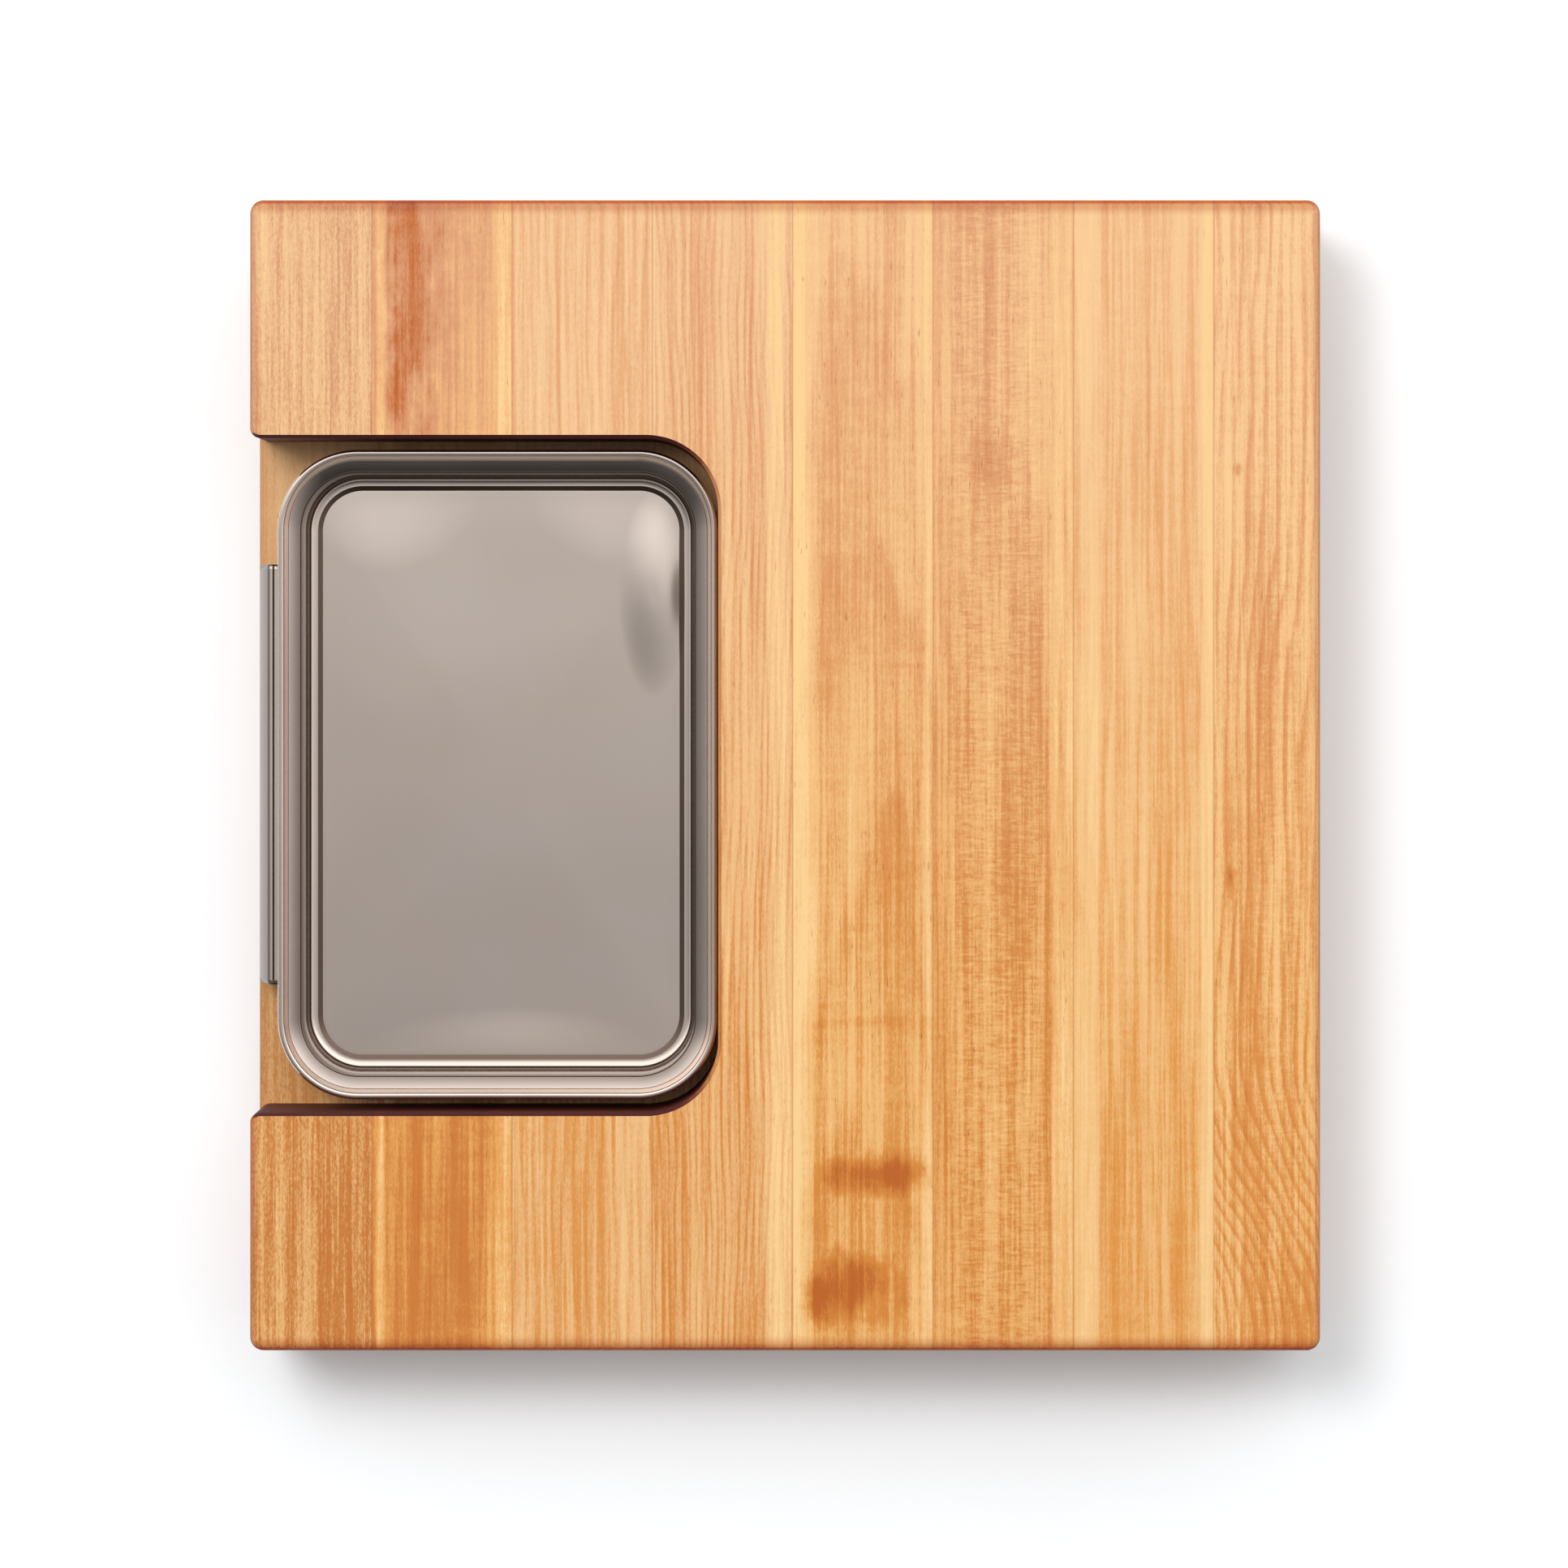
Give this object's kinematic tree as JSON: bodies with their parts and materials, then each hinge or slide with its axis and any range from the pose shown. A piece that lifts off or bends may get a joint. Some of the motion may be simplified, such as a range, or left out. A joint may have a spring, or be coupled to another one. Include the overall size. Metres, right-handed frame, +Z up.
{
  "type": "cutting board with drawer tray",
  "caption": "Thick wooden cutting board on rubber feet, with a steel scrap tray that slides out of an open recess.",
  "frame": {"origin": "on the table, under the middle of the block", "axes": "-X is the front, where the tray slides out; +Y along the grain; +Z up"},
  "size_m": [0.4, 0.43, 0.066],
  "materials": {
    "stave_1": "oiled, satin",
    "stave_2": "oiled, satin",
    "stave_3": "oiled, satin",
    "stave_4": "oiled, satin",
    "stave_5": "oiled, satin",
    "stave_6": "oiled, satin",
    "stave_7": "oiled, satin",
    "stave_8": "oiled, satin",
    "drawer_tray": "polished sheet",
    "drawer_pull": "polished sheet",
    "foot": "matt",
    "fastener": "plain"
  },
  "bodies": {
    "board": {"stave_1": "stave_1", "stave_2": "stave_2", "stave_3": "stave_3", "stave_4": "stave_4", "stave_5": "stave_5", "stave_6": "stave_6", "stave_7": "stave_7", "stave_8": "stave_8", "foot_front_left": "foot", "foot_front_right": "foot", "foot_back_left": "foot", "foot_back_right": "foot", "foot_washer_front_left": "fastener", "foot_washer_front_right": "fastener", "foot_washer_back_left": "fastener", "foot_washer_back_right": "fastener", "foot_screw_front_left": "fastener", "foot_screw_front_right": "fastener", "foot_screw_back_left": "fastener", "foot_screw_back_right": "fastener"},
    "drawer": {"drawer_tray": "drawer_tray", "drawer_pull": "drawer_pull"}
  },
  "joints": [
    {"name": "drawer_slide", "type": "slide", "parent": "board", "child": "drawer", "axis": [-1, 0, 0], "range_m": [0, 0.15]}
  ]
}
